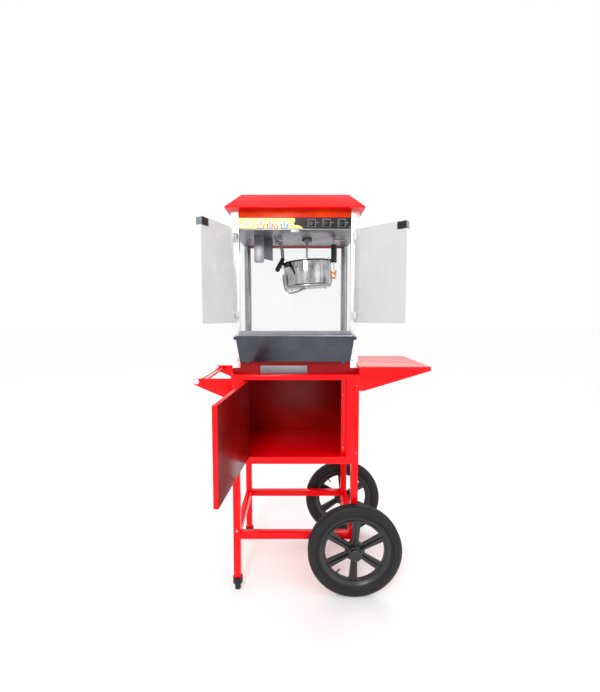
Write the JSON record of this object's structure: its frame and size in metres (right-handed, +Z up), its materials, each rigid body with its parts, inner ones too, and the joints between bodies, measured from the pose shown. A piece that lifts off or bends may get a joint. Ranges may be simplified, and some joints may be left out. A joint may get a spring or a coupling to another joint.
{
  "type": "popcorn maker",
  "caption": "Popcorn maker: glass cabinet with tilting kettle and hinged doors on a red two-wheeled cart with cupboard, shelf and push handle.",
  "frame": {"origin": "on the floor under the middle of the object's box with its doors open as at rest", "axes": "+Z up, +Y from the door side to the back, +X towards the wheels and the side shelf"},
  "size_m": [0.933, 0.8702, 1.6],
  "materials": {
    "red_paint": "gloss powder coat",
    "stainless": "brushed",
    "satin_white_steel": "satin",
    "polished_steel": "polished",
    "dark_polished_steel": "polished",
    "zinc": "plated",
    "black_plastic": "moulded",
    "panel_black": "printed",
    "wheel_plastic": "moulded",
    "tyre_rubber": "matte",
    "clear_panel": "clear",
    "dark_casting": "satin",
    "bulb_glass": "frosted"
  },
  "bodies": {
    "stand": {"cart_back": "red_paint", "cart_floor": "red_paint", "cart_front_frame": "red_paint", "cart_hinge_leaves": "zinc", "cart_sides": "red_paint", "cart_top_panel": "red_paint", "ceiling_pan": "stainless", "control_panel": "panel_black", "cross_rails": "red_paint", "deck_plate": "stainless", "drive_boss": "dark_casting", "frame_bolts": "zinc", "front_posts": "satin_white_steel", "front_tray": "dark_polished_steel", "gear_motor": "dark_casting", "glass_panes": "clear_panel", "handle_brackets": "red_paint", "handle_tie_rod": "red_paint", "hanger_grip": "black_plastic", "hanger_left": "stainless", "hanger_right": "stainless", "heater_hose": "stainless", "lamp_bulb": "bulb_glass", "lamp_cover": "stainless", "leg_frames": "red_paint", "levelling_feet": "black_plastic", "magnetic_catches": "zinc", "mains_inlet": "black_plastic", "plinth": "red_paint", "post_hinges": "zinc", "push_handle": "satin_white_steel", "rear_tubes": "stainless", "roof_canopy": "red_paint", "side_shelf": "red_paint", "switch_bezels": "black_plastic", "top_housing": "red_paint", "wheel_axle": "zinc"},
    "storage_door": {"cart_door": "red_paint", "cart_door_knuckles": "zinc"},
    "front_wheel": {"wheel_rim_front": "wheel_plastic", "wheel_tyre_front": "tyre_rubber"},
    "rear_wheel": {"wheel_rim_rear": "wheel_plastic", "wheel_tyre_rear": "tyre_rubber"},
    "left_door": {"door_glass_left": "clear_panel", "door_fittings_left": "black_plastic"},
    "right_door": {"door_glass_right": "clear_panel", "door_fittings_right": "black_plastic"},
    "drawer": {"kernel_drawer": "stainless"},
    "kettle": {"kettle_pot": "polished_steel", "kettle_base": "stainless", "kettle_rim": "black_plastic", "dump_handle": "black_plastic", "heater_conduit": "polished_steel"},
    "front_lid": {"lid_front": "polished_steel"},
    "rear_lid": {"lid_rear": "polished_steel"},
    "stirrer": {"agitator": "polished_steel"},
    "drive": {"drive_shaft": "polished_steel"},
    "heat_switch": {"rocker_heat": "black_plastic"},
    "stir_switch": {"rocker_stir": "black_plastic"},
    "lamp_switch": {"rocker_lamp": "black_plastic"}
  },
  "joints": [
    {"name": "cart_door_swing", "type": "hinge", "parent": "stand", "child": "storage_door", "pos_m": [-0.2705, -0.03085, 0.715], "axis": [0, 0, 1], "range_deg": [-15, 95]},
    {"name": "door_left_swing", "type": "hinge", "parent": "stand", "child": "left_door", "pos_m": [-0.2935, -0.00885, 1.096], "axis": [0, 0, 1], "range_deg": [-58, 111.7]},
    {"name": "door_right_swing", "type": "hinge", "parent": "stand", "child": "right_door", "pos_m": [0.1585, -0.00885, 1.096], "axis": [0, 0, 1], "range_deg": [-136.9, 33]},
    {"name": "front_wheel_spin", "type": "hinge", "parent": "stand", "child": "front_wheel", "pos_m": [0.17, -0.05085, 0.1875], "axis": [0, 1, 0], "continuous": true},
    {"name": "rear_wheel_spin", "type": "hinge", "parent": "stand", "child": "rear_wheel", "pos_m": [0.17, 0.39315, 0.1875], "axis": [0, 1, 0], "continuous": true},
    {"name": "kernel_drawer_slide", "type": "slide", "parent": "stand", "child": "drawer", "axis": [0, -1, 0], "range_m": [0, 0.2]},
    {"name": "drive_spin", "type": "hinge", "parent": "stand", "child": "drive", "pos_m": [-0.0175, 0.18315, 1.372], "axis": [0, 0, 1], "continuous": true},
    {"name": "kettle_tilt", "type": "hinge", "parent": "stand", "child": "kettle", "pos_m": [-0.01806, 0.20115, 1.36298], "axis": [0.9976, 0, 0.0698], "range_deg": [0, 82]},
    {"name": "lid_front_flap", "type": "hinge", "parent": "kettle", "child": "front_lid", "pos_m": [-0.01778, 0.16715, 1.35899], "axis": [-0.9976, 0, -0.0698], "range_deg": [0, 88]},
    {"name": "lid_rear_flap", "type": "hinge", "parent": "kettle", "child": "rear_lid", "pos_m": [-0.01778, 0.19915, 1.35899], "axis": [0.9976, 0, 0.0698], "range_deg": [0, 88]},
    {"name": "agitator_spin", "type": "hinge", "parent": "kettle", "child": "stirrer", "pos_m": [-0.01332, 0.18315, 1.29515], "axis": [-0.0698, 0, 0.9976], "continuous": true},
    {"name": "heat_switch_rock", "type": "hinge", "parent": "stand", "child": "heat_switch", "pos_m": [-0.0025, 0.00215, 1.4835], "axis": [1, 0, 0], "range_deg": [0, 14]},
    {"name": "stir_switch_rock", "type": "hinge", "parent": "stand", "child": "stir_switch", "pos_m": [0.0555, 0.00215, 1.4835], "axis": [1, 0, 0], "range_deg": [0, 14]},
    {"name": "lamp_switch_rock", "type": "hinge", "parent": "stand", "child": "lamp_switch", "pos_m": [0.1145, 0.00215, 1.4835], "axis": [1, 0, 0], "range_deg": [0, 14]}
  ],
  "couplings": [
    {"joint": "agitator_spin", "follows": "drive_spin", "ratio": 1}
  ]
}
